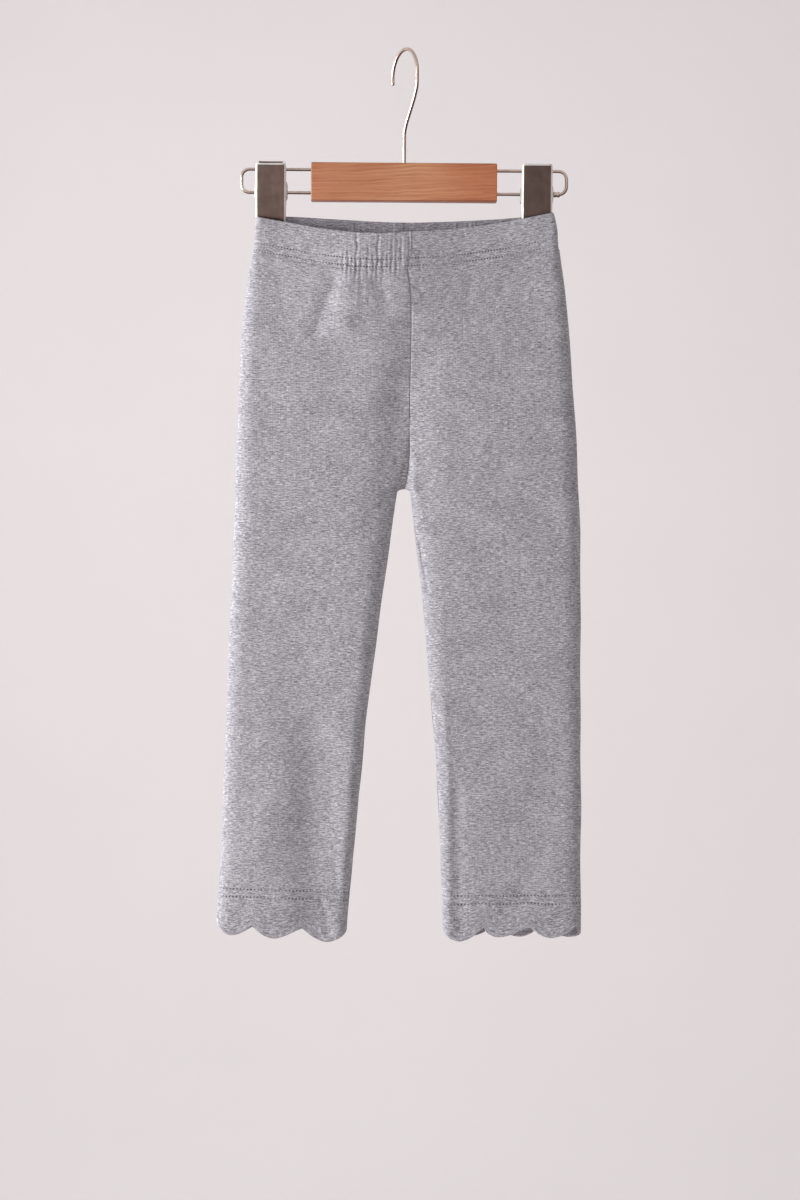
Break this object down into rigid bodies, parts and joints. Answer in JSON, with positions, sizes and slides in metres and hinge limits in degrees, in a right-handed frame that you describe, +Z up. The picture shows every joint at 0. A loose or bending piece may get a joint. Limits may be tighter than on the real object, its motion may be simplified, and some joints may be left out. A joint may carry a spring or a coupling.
{
  "type": "child's leggings on a clip hanger",
  "caption": "Cropped jersey leggings with an elastic waist and scalloped hems, hung flat by the back of the waist from a wood and wire clip hanger.",
  "frame": {"origin": "the inside of the top of the hook, where it rests on a rail", "axes": "+Z up, the front of the leggings faces -Y, the wearer's right leg is at -X and the left leg at +X"},
  "size_m": [0.3135, 0.0416, 0.7674],
  "materials": {
    "jersey": "heather grey cotton jersey, fine knit with short pale and dark streaks across",
    "hanger_wood": "reddish brown wood, satin, grain along its length",
    "wire": "nickel-plated steel wire, satin",
    "clip_plate": "nickel-plated sheet steel, bright"
  },
  "bodies": {
    "root": {"waistband": "jersey", "right_leg": "jersey", "left_leg": "jersey", "right_hem_facing": "jersey", "left_hem_facing": "jersey", "hanger_block": "hanger_wood", "hanger_hook": "wire", "hanger_frame": "wire", "frame_crimp": "wire", "right_clip_front_jaw": "clip_plate", "right_clip_back_jaw": "clip_plate", "right_clip_spring": "clip_plate", "left_clip_front_jaw": "clip_plate", "left_clip_back_jaw": "clip_plate", "left_clip_spring": "clip_plate"}
  },
  "joints": []
}
